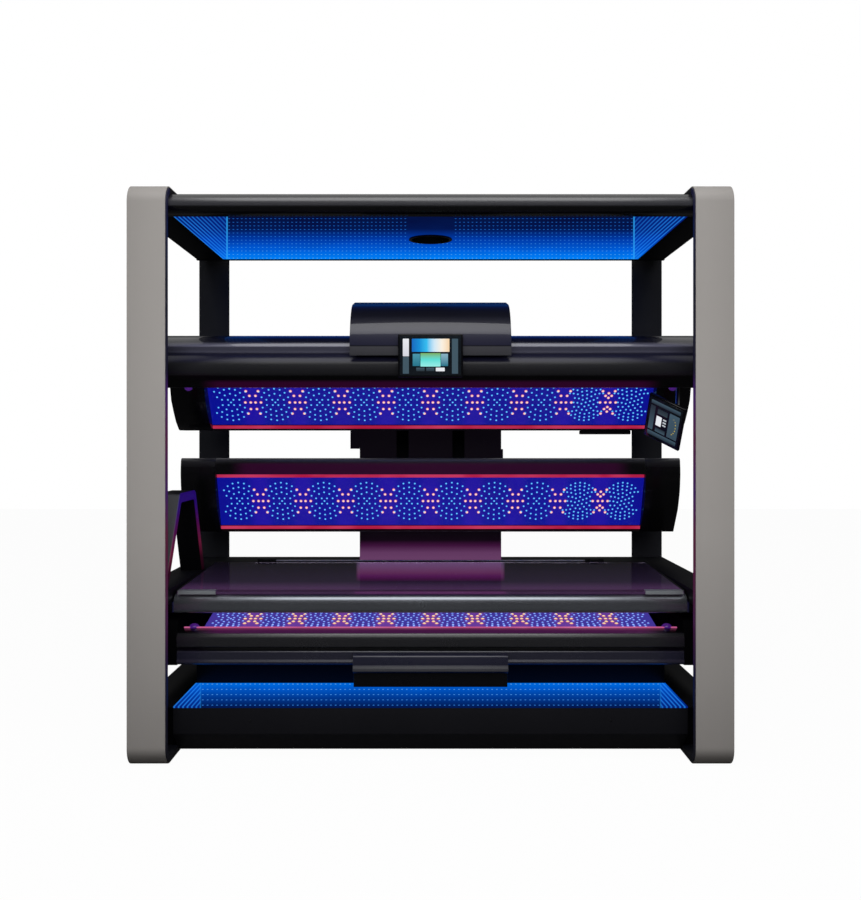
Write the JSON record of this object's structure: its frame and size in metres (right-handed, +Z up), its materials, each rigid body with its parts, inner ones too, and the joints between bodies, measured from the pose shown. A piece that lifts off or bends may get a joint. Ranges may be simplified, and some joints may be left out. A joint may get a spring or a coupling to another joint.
{
  "type": "tanning bed",
  "caption": "Tanning bed: side loops carry a dotted light roof, a lamp bed under a hinged clear lid, and a mast on which a lamp canopy and a back panel lift; a tablet swivels on an arm.",
  "frame": {"origin": "on the floor, under the middle of the frame", "axes": "+X along the bed to the tablet end, +Y to the rear where the mast stands, +Z up"},
  "size_m": [2.4, 1.2852, 2.315],
  "materials": {
    "taupe_paint": "satin",
    "black_paint": "satin",
    "black_panel": "satin",
    "black_plastic": "gloss",
    "graphite_plastic": "gloss",
    "charcoal_plastic": "matte",
    "blue_light_panel": "lit from behind, with dots",
    "lamp_board": "carries small lamps",
    "red_light_strip": "lit",
    "clear_acrylic": "clear, gloss",
    "screen_glass": "gloss",
    "steel": "brushed"
  },
  "bodies": {
    "frame": {"left_skin": "taupe_paint", "left_liner": "black_panel", "right_skin": "taupe_paint", "right_liner": "black_panel", "roof_nose": "graphite_plastic", "roof_cover": "black_panel", "roof_light_panel": "blue_light_panel", "ceiling_vent": "black_plastic", "base_fascia": "black_plastic", "base_chassis": "black_paint", "base_covers": "black_panel", "base_light_panel": "blue_light_panel", "pedestal": "black_panel", "power_supply": "charcoal_plastic", "mains_inlet": "black_plastic", "fan_frame_left": "charcoal_plastic", "fan_frame_right": "charcoal_plastic", "bed_deck": "black_panel", "bed_tray": "black_panel", "bed_front_rim": "graphite_plastic", "bed_lamp_board": "lamp_board", "bed_light_strip": "red_light_strip", "bed_end_cap_left": "black_plastic", "bed_end_cap_right": "black_plastic", "lower_hood": "graphite_plastic", "grab_hoop": "charcoal_plastic", "bench_hinge_rod": "steel", "mast_column": "steel", "mast_cover": "black_panel", "lift_actuator": "steel"},
    "bench_lid": {"bench_sheet": "clear_acrylic", "bench_front_rail": "graphite_plastic", "bench_frame": "black_paint"},
    "canopy": {"canopy_shell": "charcoal_plastic", "canopy_front_rim": "graphite_plastic", "canopy_end_cap_left": "black_plastic", "canopy_end_cap_right": "black_plastic", "canopy_lamp_board": "lamp_board", "canopy_light_strip": "red_light_strip", "canopy_hood": "graphite_plastic", "canopy_carriage": "steel", "lift_rod": "steel", "canopy_sensor_box": "black_plastic", "display_case": "black_plastic", "display_glass": "screen_glass", "tablet_arm": "steel", "tablet_pin": "steel"},
    "tablet": {"tablet_case": "black_plastic", "tablet_glass": "screen_glass"},
    "back_panel": {"back_panel_housing": "charcoal_plastic", "back_panel_end_cap_left": "black_plastic", "back_panel_end_cap_right": "black_plastic", "back_panel_lamp_board": "lamp_board", "back_panel_strip_upper": "red_light_strip", "back_panel_strip_lower": "red_light_strip", "back_panel_carriage": "steel"},
    "fan_left": {"fan_rotor_left": "charcoal_plastic"},
    "fan_right": {"fan_rotor_right": "charcoal_plastic"}
  },
  "joints": [
    {"name": "canopy_lift", "type": "slide", "parent": "frame", "child": "canopy", "axis": [0, 0, 1], "range_m": [-0.22, 0]},
    {"name": "back_panel_lift", "type": "slide", "parent": "frame", "child": "back_panel", "axis": [0, 0, 1], "range_m": [-0.121, 0]},
    {"name": "bench_hinge", "type": "hinge", "parent": "frame", "child": "bench_lid", "pos_m": [0, 0.3307, 0.7023], "axis": [-1, 0, 0], "range_deg": [0, 35]},
    {"name": "tablet_swivel", "type": "hinge", "parent": "canopy", "child": "tablet", "pos_m": [1.01762, -0.32265, 1.39315], "axis": [0.027, 0.6786, -0.734], "range_deg": [-25, 25]},
    {"name": "fan_left_spin", "type": "hinge", "parent": "frame", "child": "fan_left", "pos_m": [-0.5, 0.1074, 0.3017], "axis": [0, 1, 0], "continuous": true},
    {"name": "fan_right_spin", "type": "hinge", "parent": "frame", "child": "fan_right", "pos_m": [0.5, 0.1074, 0.3017], "axis": [0, 1, 0], "continuous": true}
  ],
  "couplings": [
    {"joint": "back_panel_lift", "follows": "canopy_lift", "ratio": 0.55}
  ]
}
